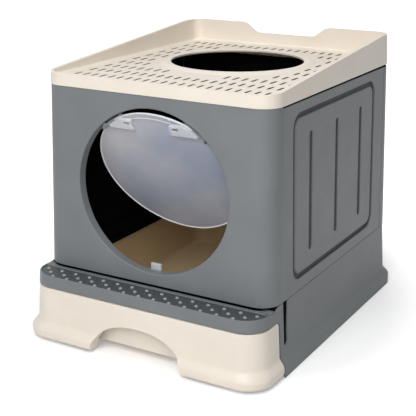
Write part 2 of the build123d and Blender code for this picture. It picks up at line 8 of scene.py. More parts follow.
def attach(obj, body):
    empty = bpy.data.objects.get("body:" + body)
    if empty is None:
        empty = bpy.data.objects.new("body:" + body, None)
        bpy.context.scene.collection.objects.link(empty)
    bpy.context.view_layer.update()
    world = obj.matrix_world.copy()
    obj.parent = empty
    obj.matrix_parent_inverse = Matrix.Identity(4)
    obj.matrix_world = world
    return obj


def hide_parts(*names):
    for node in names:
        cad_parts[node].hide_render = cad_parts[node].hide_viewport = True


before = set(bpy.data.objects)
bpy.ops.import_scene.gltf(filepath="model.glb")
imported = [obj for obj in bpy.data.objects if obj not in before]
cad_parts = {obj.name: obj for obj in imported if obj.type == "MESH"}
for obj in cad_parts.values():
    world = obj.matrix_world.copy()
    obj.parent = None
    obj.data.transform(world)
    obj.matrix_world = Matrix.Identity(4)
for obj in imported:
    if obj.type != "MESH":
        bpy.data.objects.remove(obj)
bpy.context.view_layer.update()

# Base: the flared skirt that the whole box stands on, with a step across its front and a rim inside the
# cabinet walls. One injection moulding in mid-grey polypropylene, open underneath, with a matt grain from
# the mould and a slim finger slot through each side.
base_half, base_front, base_back = 0.1942, -0.2441, 0.2441
base_top, step_top, band_foot = 0.1087, 0.105, 0.086
base_wall, step_underside = 0.0035, 0.0985
step_radius, corner_radius = 0.038, 0.031
skirt_spread, foot_spread = 0.004, 0.0123
foot_lip, flare_top = 0.0155, 0.0325
wall_front, wall_back, wall_half = -0.2051, 0.2449, 0.195
# How far a cut runs past a face, a short cut, how deep welded pieces sink in, and how near is touching.
past, nip, weld, near = 0.05, 0.002, 0.001, 1e-5


def put_down():
    """Leaves edit mode with nothing selected."""
    if bpy.context.object and bpy.context.object.mode != "OBJECT":
        bpy.ops.object.mode_set(mode="OBJECT")
    bpy.ops.object.select_all(action="DESELECT")


def take_up(piece, edit=False):
    """Selects one piece alone, and opens it for editing if asked."""
    put_down()
    piece.select_set(True)
    bpy.context.view_layer.objects.active = piece
    if edit:
        bpy.ops.object.mode_set(mode="EDIT")
    return piece


def pick(kind, wanted):
    """In edit mode, selects the points, edges or faces that wanted() accepts, and no others."""
    bpy.ops.mesh.select_mode(type=kind)
    bpy.ops.mesh.select_all(action="DESELECT")
    mesh = bmesh.from_edit_mesh(bpy.context.object.data)
    for item in {"VERT": mesh.verts, "EDGE": mesh.edges, "FACE": mesh.faces}[kind]:
        if wanted(item):
            item.select_set(True)
    mesh.select_flush_mode()
    bmesh.update_edit_mesh(bpy.context.object.data)


def close_up():
    """In edit mode, fills open ends, merges doubles and turns the faces outwards."""
    bpy.ops.mesh.select_all(action="SELECT")
    bpy.ops.mesh.remove_doubles(threshold=near / 2)
    bpy.ops.mesh.fill_holes(sides=0)
    bpy.ops.mesh.normals_make_consistent(inside=False)
    bpy.ops.object.mode_set(mode="OBJECT")


def slab(name, half, front, back, foot, front_radius, back_radius, rises, arc=12):
    """Block with rounded upright corners, raised in stages of (how far its sides draw in, rise)."""
    put_down()
    middle, deep = (front + back) / 2, (back - front) / 2
    bpy.ops.mesh.primitive_plane_add(size=2, location=(0, middle, foot))
    piece = bpy.context.object
    piece.name = name
    piece.scale = (half, deep, 1)
    bpy.ops.object.transform_apply(location=True, rotation=True, scale=True)
    bpy.ops.object.mode_set(mode="EDIT")
    for radius, in_front in ((front_radius, True), (back_radius, False)):
        if radius:
            pick("VERT", lambda point: (point.co.y < middle) == in_front)
            bpy.ops.mesh.bevel(offset=radius, segments=arc, affect="VERTICES")
    pick("FACE", lambda face: True)
    for inset, rise in rises:
        bpy.ops.mesh.extrude_region_move(TRANSFORM_OT_translate={"value": (0, 0, rise)})
        drawn = ((half - inset) / half, (deep - inset) / deep, 1)
        bpy.ops.transform.resize(value=drawn, center_override=(0, middle, 0))
        half, deep = half - inset, deep - inset
    close_up()
    return piece


def bar(name, low, high):
    """Square block between two corners."""
    put_down()
    centre = [(a + b) / 2 for a, b in zip(low, high)]
    bpy.ops.mesh.primitive_cube_add(size=1, location=centre, scale=[b - a for a, b in zip(low, high)])
    bpy.ops.object.transform_apply(location=True, rotation=True, scale=True)
    bpy.context.object.name = name
    return bpy.context.object


def round_edges(piece, wanted, radius, steps=8):
    """Rounds the edges whose two ends wanted() accepts."""
    take_up(piece, edit=True)
    pick("EDGE", lambda edge: wanted(edge.verts[0].co, edge.verts[1].co))
    bpy.ops.mesh.bevel(offset=radius, segments=steps, affect="EDGES", clamp_overlap=True)
    bpy.ops.object.mode_set(mode="OBJECT")
    return piece


def shape(piece, tool, how="DIFFERENCE"):
    """Cuts a tool out of the piece, welds it on, or keeps only what both share; the tool is used up."""
    take_up(piece)
    bpy.ops.object.modifier_add(type="BOOLEAN")
    work = piece.modifiers[-1]
    work.operation, work.solver, work.object = how, "EXACT", tool
    bpy.ops.object.modifier_apply(modifier=work.name)
    bpy.data.objects.remove(tool)
    return piece


def gather(piece, others):
    """Joins other meshes into the piece."""
    take_up(piece)
    for other in others:
        other.select_set(True)
    bpy.ops.object.join()
    return piece


def finish_edges(piece, width, steps=2, sharp=35):
    """Rounds every edge that the mould leaves sharp, and shades the rest smooth."""
    take_up(piece, edit=True)
    bpy.ops.mesh.select_all(action="SELECT")
    bpy.ops.mesh.remove_doubles(threshold=near)
    bpy.ops.mesh.dissolve_degenerate(threshold=near)
    pick("FACE", lambda face: len(face.verts) > 4)
    bpy.ops.mesh.vert_connect_concave()
    bpy.ops.object.mode_set(mode="OBJECT")
    bpy.ops.object.modifier_add(type="BEVEL")
    work = piece.modifiers[-1]
    work.width, work.segments, work.limit_method = width, steps, "ANGLE"
    work.angle_limit, work.use_clamp_overlap, work.miter_outer = radians(sharp), False, "MITER_ARC"
    work.face_strength_mode, work.loop_slide = "FSTR_ALL", False
    bpy.ops.object.modifier_apply(modifier=work.name)
    bpy.ops.object.shade_smooth_by_angle(angle=radians(sharp))
    bpy.ops.object.modifier_add(type="WEIGHTED_NORMAL")
    work = piece.modifiers[-1]
    work.keep_sharp, work.weight, work.use_face_influence = True, 80, True
    bpy.ops.object.modifier_apply(modifier=work.name)
    return piece


def skirt_block(name, inwards, foot, top, under=0.0):
    """The skirt's outline as a solid from foot to top, a distance inside its outer face, rounded under."""
    turns, stages = 6, 10
    profile = [(0, foot)]
    if under:
        angles = [pi / 2 * turn / turns for turn in range(turns + 1)]
        profile = [(under * (1 - sin(angle)), foot + under * (1 - cos(angle))) for angle in angles]
    for stage in range(stages + 1):
        drawn_in = (foot_spread - skirt_spread) * (1 - cos(pi * stage / stages)) / 2
        profile.append((drawn_in, foot_lip + (flare_top - foot_lip) * stage / stages))
    lean_in = skirt_spread * (top - flare_top) / (base_top - flare_top)
    profile.append((foot_spread - skirt_spread + lean_in, top))
    rises = [(inner - outer, high - low) for (outer, low), (inner, high) in zip(profile, profile[1:])]
    grow = foot_spread - inwards - profile[0][0]
    return slab(name, base_half + grow, base_front - grow, base_back + grow, foot,
                step_radius - inwards, corner_radius - inwards, rises)


base = skirt_block("base_skirt", 0, 0, base_top)
shape(base, skirt_block("skirt_room", base_wall, -nip, step_underside))

rim_top, rim_wall, rim_inset, bridge_front, bridge_back = 0.118, 0.003, 0.0036, -0.1911, -0.1881
rim_half, rim_back = base_half - rim_inset, base_back - rim_inset
rim_radius, rim_back_radius = 0.02, corner_radius - rim_inset
ramp_foot, ramp_head, ramp_lead = wall_front + 0.014, wall_front + 0.026, 0.0015
shape(base, bar("step_fall", (-1, -1, step_top), (1, ramp_foot, 1)))
ramp = bar("step_ramp", (-1, ramp_foot - ramp_lead, step_top), (1, ramp_foot + past, step_top + past))
take_up(ramp)
ramp.matrix_world = (Matrix.Translation((0, ramp_foot, step_top))
                     @ Matrix.Rotation(atan2(base_top - step_top, ramp_head - ramp_foot), 4, "X")
                     @ Matrix.Translation((0, -ramp_foot, -step_top)))
bpy.ops.object.transform_apply(location=True, rotation=True, scale=True)
shape(base, ramp)
rim = slab("rim", rim_half, bridge_front, rim_back, step_underside + weld, rim_radius, rim_back_radius,
           [(0, rim_top - step_underside - weld)])
shape(base, rim, "UNION")
shape(base, slab("well", rim_half - rim_wall, bridge_back, rim_back - rim_wall, step_underside - past,
                 rim_radius - rim_wall, rim_back_radius - rim_wall, [(0, 2 * past)]))

drawer_end, bay_radius = -0.1781, 0.0104
bay = bar("drawer_bay", (-1, -1, -past), (1, drawer_end, band_foot))
round_edges(bay, lambda a, b: min(a.y, b.y) > drawer_end - near and min(a.z, b.z) > band_foot - near,
            bay_radius)
shape(base, bay)

tread_margin, recess_back, recess_floor = 0.0017, -0.2078, 0.102


def tread_block(name, clearance, foot, top):
    """Outline of the tread's recess as a solid: along the step's edge, and straight at the cabinet."""
    inwards = tread_margin + clearance
    block = slab(name, base_half - inwards, base_front + inwards, 0, foot, step_radius - inwards, 0,
                 [(0, top - foot)])
    return shape(block, bar("tread_end", (-1, recess_back - clearance, -1), (1, 1, 1)))


shape(base, tread_block("recess", 0, recess_floor, step_top + past))


def on_side(side, inner, outer):
    """Lower and higher x of a stretch on the right side, or on the left one for a side of -1."""
    return sorted((side * inner, side * outer))


slot_y, slot_half, slot_round, slot_foot, slot_deep = -0.1601, 0.006, 0.00594, 0.042, 0.012
for side in (-1, 1):
    left, right = on_side(side, base_half - slot_deep, base_half + past)
    slot = bar("finger_slot", (left, slot_y - slot_half, slot_foot),
               (right, slot_y + slot_half, base_top + past))
    round_edges(slot, lambda a, b: max(a.z, b.z) < slot_foot + near and abs(a.y - b.y) < near, slot_round)
    shape(base, slot)
runner = ((0.1843, drawer_end, 0.0767), (0.1925, 0.213, 0.0817))
# A thin plate behind each finger slot, whose face is painted near-black as the shade seen through the slot.
slot_shade_plate = ((0.1926, slot_y - 0.012, 0.030), (0.1933, slot_y + 0.012, 0.108))
ribs = []
for (inner, front_end, low), (outer, back_end, high) in (runner, slot_shade_plate):
    for side in (1, -1):
        left, right = on_side(side, inner, outer)
        ribs.append(bar("rib", (left, front_end, low), (right, back_end, high)))
gather(base, ribs)
under_deep, under_in = 0.0004, 0.0014
under = slab("under_wall", wall_half - under_in, wall_front + under_in, 0, step_top - under_deep,
             corner_radius - under_in, 0, [(0, past)])
shape(under, bar("bridge_side", (-1, bridge_front, -1), (1, 1, 1)))
shape(base, under)
finish_edges(base, 0.0009)


def paint(red, green, blue):
    """Linear colour of a paint chip read in screen values."""
    chip = [value / 255 for value in (red, green, blue)]
    return [value / 12.92 if value <= 0.04045 else ((value + 0.055) / 1.055) ** 2.4 for value in chip] + [1.0]


def moulded_plastic(name, dark, pale, gloss, grain=0.06, clouds=14, polish=0.4):
    """Opaque moulded plastic: colour clouded between two paints, uneven gloss and a fine mould grain."""
    plastic = bpy.data.materials.new(name)
    plastic.use_nodes = True
    nodes, link = plastic.node_tree.nodes, plastic.node_tree.links.new
    shader = nodes["Principled BSDF"]
    place = nodes.new("ShaderNodeTexCoord")
    drift = nodes.new("ShaderNodeTexNoise")
    drift.inputs["Scale"].default_value, drift.inputs["Detail"].default_value = clouds, 4
    tint = nodes.new("ShaderNodeValToRGB")
    for stop, (position, value) in zip(tint.color_ramp.elements, ((0.35, dark), (0.65, pale))):
        stop.position, stop.color = position, value
    wear = nodes.new("ShaderNodeTexNoise")
    wear.inputs["Scale"].default_value, wear.inputs["Detail"].default_value = 55, 5
    sheen = nodes.new("ShaderNodeMapRange")
    sheen.inputs["To Min"].default_value, sheen.inputs["To Max"].default_value = gloss - 0.06, gloss + 0.06
    tooth = nodes.new("ShaderNodeTexNoise")
    tooth.inputs["Scale"].default_value, tooth.inputs["Detail"].default_value = 1500, 2
    relief = nodes.new("ShaderNodeBump")
    relief.inputs["Strength"].default_value, relief.inputs["Distance"].default_value = grain, 0.0004
    for noise in (drift, wear, tooth):
        link(place.outputs["Object"], noise.inputs["Vector"])
    link(drift.outputs["Fac"], tint.inputs["Fac"])
    link(tint.outputs["Color"], shader.inputs["Base Color"])
    link(wear.outputs["Fac"], sheen.inputs["Value"])
    link(sheen.outputs["Result"], shader.inputs["Roughness"])
    link(tooth.outputs["Fac"], relief.inputs["Height"])
    link(relief.outputs["Normal"], shader.inputs["Normal"])
    shader.inputs["IOR"].default_value = 1.49
    shader.inputs["Specular IOR Level"].default_value = polish
    return plastic


def finish_faces(piece, number, wanted):
    """Gives the faces that wanted() accepts, by middle and normal, one of the piece's other finishes."""
    for face in piece.data.polygons:
        if wanted(face.center, face.normal):
            face.material_index = number


def mount(piece, finishes, body, slot, *nodes):
    """Gives a piece its finishes and its body, and hides the solids that it stands for; the slot is not used.
    """
    piece.data.materials.clear()
    for finish in finishes:
        piece.data.materials.append(finish)
    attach(piece, body)
    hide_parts(*nodes)


def faces_inwards(middle, normal):
    """True for the inner side of a wall, which is painted near-black as shade."""
    centre_y, half_deep = (wall_front + wall_back) / 2, (wall_back - wall_front) / 2
    across, along = middle.x / wall_half, (middle.y - centre_y) / half_deep
    out = Vector((across, 0, 0)) if abs(across) > abs(along) else Vector((0, along, 0))
    return normal.dot(out.normalized()) < -0.6


def painted_shade_under_walls(middle, normal):
    """True for what the cabinet covers, painted near-black as shade: the step's top, the rim and walls
    inside, the slots' backs.
    """
    covered = abs(middle.z - step_top + under_deep) < 0.0001 and normal.z > 0.9
    inside = abs(middle.x) < rim_half + 0.0006 and middle.y > bridge_front - 0.0006
    rimmed = inside and middle.z > base_top - 0.02
    plated = abs(middle.y - slot_y) < 0.016 and abs(middle.x) < 0.1938 and middle.z > 0.03
    slotted = plated and abs(normal.y) < 0.9
    walled = middle.y > drawer_end and faces_inwards(middle, normal)
    return covered or rimmed or slotted or walled


grey_plastic = moulded_plastic("grey_moulded", paint(118, 122, 124), paint(123, 127, 129), 0.46, polish=0.2)
# Near-black, without gloss: painted shade for the inside of the cabinet and the gaps under its walls.
shade_black_plastic = moulded_plastic("painted_shade_black", paint(20, 21, 22), paint(26, 27, 28), 0.75, polish=0.0)
mount(base, [grey_plastic, shade_black_plastic], "cabinet", "grey_plastic", "base_frame")
# The covered step, the rim and walls inside and the backs of the finger slots are painted near-black as
# shade.
finish_faces(base, 1, painted_shade_under_walls)

# Tread: a dark rubbery pad pressed into the step's recess, with three staggered rows of low round nubs that
# knock litter off paws. Moulded in one piece and held by its snug edge.
tread_gap, pad_top = 0.0003, recess_floor + 0.0016
tread = tread_block("step_tread_pad", tread_gap, recess_floor, pad_top)
nub_radius, nub_height, nub_pitch, nub_sunk = 0.0029, 0.0023, 0.0257, 0.0002
put_down()
bpy.ops.mesh.primitive_uv_sphere_add(segments=16, ring_count=10, radius=nub_radius)
nub = bpy.context.object
nub.scale = (1, 1, nub_height / nub_radius)
bpy.ops.object.transform_apply(location=True, rotation=True, scale=True)
bpy.ops.object.mode_set(mode="EDIT")
bpy.ops.mesh.select_all(action="SELECT")
bpy.ops.mesh.bisect(plane_co=(0, 0, -nub_sunk), plane_no=(0, 0, 1), clear_inner=True, use_fill=True)
bpy.ops.object.mode_set(mode="OBJECT")


def copy_at(piece, place):
    """Copy of a piece with a mesh of its own, moved to a place."""
    copy = piece.copy()
    copy.data = piece.data.copy()
    copy.data.transform(Matrix.Translation(place))
    bpy.context.collection.objects.link(copy)
    return copy


nubs = []
for row_y, count in ((-0.2172, 15), (-0.2288, 14), (-0.2394, 13)):
    for place in range(count):
        nubs.append(copy_at(nub, ((place - (count - 1) / 2) * nub_pitch, row_y, pad_top)))
bpy.data.objects.remove(nub)
gather(tread, nubs)
take_up(tread)
bpy.ops.object.shade_smooth_by_angle(angle=radians(40))
tread_rubber = moulded_plastic("dark_tread", paint(60, 64, 67), paint(80, 84, 87), 0.5, grain=0.3, clouds=260)
# Lighter grey over the whole of each nub: a painted highlight where light catches the domes.
nub_highlight_paint = moulded_plastic("polished_nubs", paint(146, 150, 152), paint(156, 160, 162), 0.3)
mount(tread, [tread_rubber, nub_highlight_paint], "cabinet", "tread_plastic", "step_tread")
# Every nub face takes the painted highlight.
finish_faces(tread, 1, lambda middle, normal: middle.z > pad_top + nub_sunk)

# Cabinet: the front wall and both side walls in one grey moulding, each wall leaning in a little so that it
# leaves the mould. The round door has a rolled edge and a collar behind it, and each side has a large window.
seam, wall_top, wall = 0.1095, 0.3862, 0.0032
lean_share = 0.023915
lean = atan(lean_share)
back_seam = 0.2029


def wall_block(name, inwards, low, high):
    """The four leaning walls' outline as a solid, a distance inside their outer face."""
    sway = (low - seam) * lean_share + inwards
    return slab(name, wall_half - sway, wall_front + sway, wall_back - sway, low, corner_radius - inwards,
                corner_radius - inwards, [((high - low) * lean_share, high - low)], arc=16)


def wall_tube(name):
    """The four walls before they are parted at the back seam."""
    tube = wall_block(name, 0, seam, wall_top)
    return shape(tube, wall_block("wall_room", wall, seam - nip, wall_top + nip))


def drum(name, frame_at, halves, low, high, around=128):
    """Round or oval plug between two heights over a frame, by its half width and half height."""
    put_down()
    bpy.ops.mesh.primitive_cylinder_add(vertices=around, radius=1, depth=high - low,
                                        location=(0, 0, (low + high) / 2), scale=(*halves, 1))
    plug = bpy.context.object
    plug.name = name
    bpy.ops.object.transform_apply(location=True, rotation=True, scale=True)
    return set_in(plug, frame_at)


def set_in(piece, frame_at):
    """Turns a piece that was made flat into a frame on the box, with its place in its mesh."""
    take_up(piece)
    piece.matrix_world = frame_at
    bpy.ops.object.transform_apply(location=True, rotation=True, scale=True)
    return piece


def frame_on(origin, across, up):
    """Frame at a point with its x along across, its y along up and its z standing off the surface."""
    across, up = Vector(across).normalized(), Vector(up).normalized()
    return Matrix.Translation(origin) @ Matrix((across, up, across.cross(up))).transposed().to_4x4()


def grown(halves, by):
    """Half width and half height of a larger or smaller oval."""
    return [half + by for half in halves]


door_z, door_half, collar_wall, collar_depth = 0.2477, (0.1258, 0.1206), 0.0032, 0.015
door_at = (0, wall_front + (door_z - seam) * lean_share, door_z)
door_frame = frame_on(door_at, (1, 0, 0), (0, sin(lean), cos(lean)))
window_y, window_z = 0.0134, 0.24825


def side_frame(side):
    """Frame on a side wall's outer face at the middle of its window."""
    x = side * (wall_half - (window_z - seam) * lean_share)
    return frame_on((x, window_y, window_z), (0, side, 0), (-side * sin(lean), 0, cos(lean)))


def window_block(name, side, half_wide, half_high, radius, low, high):
    """Rounded panel on a side wall, between two depths from its face."""
    block = slab(name, half_wide, -half_high, half_high, low, radius, radius, [(0, high - low)])
    return set_in(block, side_frame(side))


cabinet = wall_tube("cabinet_shell_walls")
shape(cabinet, bar("behind_seam", (-1, back_seam, 0), (1, 1, 1)))
collar_sunk, door_round = 0.0008, 0.0020
collar = drum("collar", door_frame, grown(door_half, collar_wall), -collar_depth, -collar_sunk)
shape(cabinet, collar, "UNION")
shape(cabinet, drum("door_bore", door_frame, door_half, -past, past))
window_half, window_radius = (0.1505, 0.12125), 0.023
for side in (-1, 1):
    shape(cabinet, window_block("window", side, *window_half, window_radius, -past / 4, past / 4))


def on_door_edge(point):
    """True for a point on the door's front edge."""
    local = door_frame.inverted() @ point
    return abs(local.z) < 1e-4 and abs(hypot(local.x / door_half[0], local.y / door_half[1]) - 1) < 1e-3


round_edges(cabinet, lambda a, b: on_door_edge(a) and on_door_edge(b), door_round, 4)
rebate_front, rebate_high, rebate_deep = -0.168, 0.0054, 0.0016


def rebate():
    """Tool for the shadow line under the lid along the top of the side and back walls."""
    tool = bar("rebate", (-1, rebate_front, wall_top - rebate_high), (1, 1, wall_top + past))
    take_up(tool, edit=True)
    pick("VERT", lambda point: point.co.y < 0 and point.co.z < wall_top)
    bpy.ops.transform.translate(value=(0, 0, rebate_high * 0.6))
    bpy.ops.object.mode_set(mode="OBJECT")
    return shape(tool, wall_block("rebate_core", rebate_deep, wall_top - past, wall_top + 2 * past))


def shadowed(middle, normal):
    """True for the inner side of a wall and for the shadow line under the lid, both painted near-black as
    shade.
    """
    lowered = middle.z > wall_top - rebate_high - 0.0003 and middle.y > rebate_front - 0.0005
    inside = abs(middle.x) < wall_half - (wall_top - seam) * lean_share - 0.0009
    behind = middle.y < wall_back - (wall_top - seam) * lean_share - 0.0009
    return faces_inwards(middle, normal) or (lowered and inside and behind)


shape(cabinet, rebate())
finish_edges(cabinet, 0.0008)
mount(cabinet, [grey_plastic, shade_black_plastic], "cabinet", "grey_plastic", "cabinet_shell")
# The walls' inner faces and the rebate under the lid are painted near-black as shade.
finish_faces(cabinet, 1, shadowed)

# Side panels: a raised pillow stands in each window with a channel round it, pressed with three upright
# round-ended grooves. Separate grey mouldings whose flanges clip behind the walls.
pillow_half, pillow_radius, pillow_back, pillow_round = (0.1425, 0.11325), 0.015, -0.0045, 0.0024
flange_wide, flange_back = 0.006, -0.0056
groove_pitch, groove_half, groove_reach, groove_depth = 0.092, 0.0055, 0.08825, 0.003
groove_end, groove_floor_round = 0.00539, 0.0024
grooves_at = (-groove_pitch, 0, groove_pitch)


def groove(frame_at, across):
    """Tool for a round-ended groove that stands upright on a wall."""
    tool = slab("groove", groove_half, -groove_reach, groove_reach, -groove_depth, groove_end, groove_end,
                [(0, past / 4)], arc=8)
    round_edges(tool, lambda a, b: max(a.z, b.z) < -groove_depth + near, groove_floor_round, 5)
    tool.data.transform(Matrix.Translation((across, 0, 0)))
    return set_in(tool, frame_at)


def in_channel(local, facing):
    """True for the floor of the channel round a pillow and for its grooves, in the panel's own frame; these
    are painted darker grey as shade.
    """
    pressed = min(abs(local.x - across) for across in grooves_at) < groove_half + 0.0004
    grooved = pressed and abs(local.y) < groove_reach + 0.0004 and local.z < -0.0005
    return facing.z > 0.3 and (grooved or abs(local.z + wall) < 0.0002)


# Darker grey: painted shade for the floors of the channels and grooves.
channel_shade_paint = moulded_plastic("painted_channel_shade", paint(80, 82, 83), paint(86, 88, 89), 0.6, polish=0.1)
for side, hand in ((1, "right"), (-1, "left")):
    panel = window_block("side_panel_" + hand + "_pillow", side, *pillow_half, pillow_radius, pillow_back, 0)
    face = side_frame(side)
    off_wall = face.inverted()
    round_edges(panel, lambda a, b: min((off_wall @ a).z, (off_wall @ b).z) > -near, pillow_round, 5)
    for across in grooves_at:
        shape(panel, groove(face, across))
    flange = window_block("flange", side, *grown(window_half, flange_wide), window_radius, flange_back, -wall)
    gather(panel, [flange])
    finish_edges(panel, 0.0007)
    mount(panel, [grey_plastic, shade_black_plastic, channel_shade_paint], "cabinet", "grey_plastic", "side_panel_" + hand)
    turn = off_wall.to_3x3()
    # The flange's inner faces are painted near-black as shade.
    finish_faces(panel, 1, faces_inwards)
    # The channel and groove floors are painted darker grey as shade.
    finish_faces(panel, 2, lambda middle, normal: in_channel(off_wall @ middle, turn @ normal))

# Back panel: the back wall with both back corners, pressed with the same three grooves. A grey moulding of
# its own that laps inside the side walls, so that a fine seam runs up each side near the back.
back = wall_tube("back_panel_wall")
seam_gap, lap_half, lap_reach, lap_thick = 0.0006, 0.012, 0.12725, 0.0022
shape(back, bar("ahead_of_seam", (-1, -1, 0), (1, back_seam + seam_gap, 1)))
back_at = (0, wall_back - (window_z - seam) * lean_share, window_z)
back_frame = frame_on(back_at, (-1, 0, 0), (0, -sin(lean), cos(lean)))
for across in grooves_at:
    shape(back, groove(back_frame, across))
laps = []
for side in (-1, 1):
    lap = slab("lap", lap_half, -lap_reach, lap_reach, -wall - lap_thick, 0, 0, [(0, lap_thick)])
    lap.data.transform(Matrix.Translation((side * (back_seam - window_y), 0, 0)))
    laps.append(set_in(lap, side_frame(side)))
shape(back, rebate())
gather(back, laps)
finish_edges(back, 0.0006)
mount(back, [grey_plastic, shade_black_plastic, channel_shade_paint], "cabinet", "grey_plastic", "back_panel")
off_back = back_frame.inverted()
# The back's inner faces and its rebate are painted near-black as shade.
finish_faces(back, 1, shadowed)
# Its groove floors are painted darker grey as shade.
finish_faces(back, 2, lambda middle, normal: in_channel(off_back @ middle, off_back.to_3x3() @ normal))

# Lid: one cream moulding that lifts off. Its rim is low at the front and rises to the back, with a notch in
# the back, round a deck pierced by short drain slots and a round hatch with a soft raised ring.
lid_foot, lid_top, lid_lip, deck_top, deck_under = 0.3865, 0.4344, 0.404, 0.398, 0.395
lid_half, lid_front, lid_back = 0.18938, -0.19948, 0.23928
lid_lean, rim_foot, slope_end = 0.0384, 0.008, 0.19728
lid = slab("lid_cover_top", lid_half, lid_front, lid_back, lid_foot, corner_radius, corner_radius,
           [((lid_top - lid_foot) * lid_lean, lid_top - lid_foot)], arc=16)
slope = Vector((0, lid_lip - lid_top, slope_end - lid_front)).normalized()
slope_foot = Vector((0, lid_front, lid_lip))
take_up(lid, edit=True)
bpy.ops.mesh.select_all(action="SELECT")
bpy.ops.mesh.bisect(plane_co=slope_foot, plane_no=slope, clear_outer=True, use_fill=True)
close_up()
well_top, well_radius, well_round, well_lean = 0.44, 0.015, 0.003, 0.0175
in_at_deck = (deck_top - lid_foot) * lid_lean + rim_foot
in_at_top = in_at_deck - (well_top - deck_top) * well_lean
well = slab("lid_well", lid_half - in_at_top, lid_front + in_at_top, lid_back - in_at_top, well_top,
            well_radius, well_radius, [(in_at_deck - in_at_top, deck_top - well_top)], arc=16)
round_edges(well, lambda a, b: max(a.z, b.z) < deck_top + near, well_round, 4)
shape(lid, well)


def on_rim(point):
    """True for a point on the rim's sloping or level top."""
    return abs((point - slope_foot).dot(slope)) < near or point.z > lid_top - near


notch_floor, notch_half, notch_lift, notch_slant, notch_x = 0.4175, 0.055, 0.023, 0.022 / 0.017, -0.006
notch_deep, notch_round, notch_corner, rim_round = 0.03, 0.007, 0.006, 0.0013
notch = bar("notch", (-notch_half, lid_back - notch_deep, notch_floor),
            (notch_half, lid_back + notch_deep, notch_floor + notch_lift))
take_up(notch, edit=True)
pick("VERT", lambda point: point.co.z > notch_floor + notch_lift / 2)
bpy.ops.transform.resize(value=(1 + notch_slant * notch_lift / notch_half, 1, 1), center_override=(0, 0, 0))
round_edges(notch, lambda a, b: max(a.z, b.z) < notch_floor + near and abs(a.x - b.x) < near,
            notch_round)
notch.data.transform(Matrix.Translation((notch_x, 0, 0)))
shape(lid, notch)
notch_reach = notch_half + notch_slant * (lid_top - notch_floor)


def on_notch_corner(point):
    """True for a point on one of the two corners where the notch meets the rim's level top."""
    return point.z > lid_top - near and abs(abs(point.x - notch_x) - notch_reach) < 0.0005


round_edges(lid, lambda a, b: on_notch_corner(a) and on_notch_corner(b) and abs(a.x - b.x) < near,
            notch_corner, 6)
round_edges(lid, lambda a, b: on_rim(a) and on_rim(b) and (a - b).length > near / 10, rim_round, 3)

lid_skirt = 0.0046
under_half, under_radius = lid_half - lid_skirt, corner_radius - lid_skirt
shape(lid, slab("lid_underside", under_half, lid_front + lid_skirt, lid_back - lid_skirt, lid_foot - past,
                under_radius, under_radius, [(0, past + deck_under - lid_foot)]))
hatch_y, hatch_half, ring_radius = 0.0519, (0.105, 0.105), 0.1242
put_down()
bpy.ops.mesh.primitive_circle_add(vertices=128, radius=ring_radius, fill_type="NGON",
                                  location=(0, hatch_y, deck_under + weld))
ring = bpy.context.object
bpy.ops.object.transform_apply(location=True, rotation=True, scale=True)
take_up(ring, edit=True)
pick("FACE", lambda face: True)
bpy.ops.mesh.extrude_region_move(TRANSFORM_OT_translate={"value": (0, 0, deck_top - deck_under - weld)})
ring_curve = [(ring_radius, deck_top), (0.1232, 0.3984), (0.1215, 0.3991), (0.1190, 0.4001), (0.1165, 0.4008),
              (0.1135, 0.4013), (0.1105, 0.4014), (0.1078, 0.4012), (0.1060, 0.4006), (0.1040, 0.4000)]
for (outer, low), (inner, high) in zip(ring_curve, ring_curve[1:]):
    bpy.ops.mesh.inset(thickness=outer - inner, depth=high - low)
close_up()
shape(lid, ring, "UNION")
hatch_frame, hatch_foot = Matrix.Translation((0, hatch_y, 0)), deck_under - past / 2
relief_wide, relief_top = 0.005, deck_top - 0.0008
shape(lid, drum("hatch", hatch_frame, hatch_half, hatch_foot, lid_top))
shape(lid, drum("hatch_relief", hatch_frame, grown(hatch_half, relief_wide), hatch_foot, relief_top))

drain_half, drain_reach, drain_end, drain_foot, drain_gap = 0.002, 0.0105, 0.00194, deck_under - 0.004, 0.0018
drain_columns, drain_rows, drain_across, drain_along, drain_y = 22, 10, 0.015, 0.0385, 0.0199
drain = slab("drain_slot", drain_half, -drain_reach, drain_reach, drain_foot, drain_end, drain_end,
             [(0, deck_top - drain_foot + nip)], arc=4)
drains = []
for column in range(drain_columns):
    for row in range(drain_rows):
        x = (column - (drain_columns - 1) / 2) * drain_across
        y = (row - (drain_rows - 1) / 2) * drain_along + drain_y
        if hypot(x, max(abs(y - hatch_y) - drain_reach, 0)) > ring_radius + drain_gap:
            drains.append(copy_at(drain, (x, y, 0)))
bpy.data.objects.remove(drain)
shape(lid, gather(drains[0], drains[1:]))
spigot_in, spigot_wall, spigot_foot, spigot_radius = 0.01082, 0.002, 0.3788, 0.027
spigot = slab("spigot", wall_half - spigot_in, wall_front + spigot_in, wall_back - spigot_in, spigot_foot,
              spigot_radius, spigot_radius, [(0, deck_under + weld - spigot_foot)])
room_in, room_radius = spigot_in + spigot_wall, spigot_radius - spigot_wall
shape(spigot, slab("spigot_room", wall_half - room_in, wall_front + room_in, wall_back - room_in,
                   spigot_foot - past / 4, room_radius, room_radius, [(0, past)]))
gather(lid, [spigot])
finish_edges(lid, 0.0006)
cream, pale_cream = paint(232, 222, 209), paint(236, 227, 214)
cream_plastic = moulded_plastic("cream_moulded", cream, pale_cream, 0.38, grain=0.035)


def in_drain(middle, normal):
    """True for the walls of the drain slots, painted a darker brown as shade and given a rougher skin."""
    over_deck = abs(middle.x) < 0.168 and -0.182 < middle.y < 0.2185
    in_deck = deck_under < middle.z < deck_top - 0.0002
    pierced = hypot(middle.x, middle.y - hatch_y) > ring_radius and abs(normal.z) < 0.8
    return over_deck and in_deck and pierced


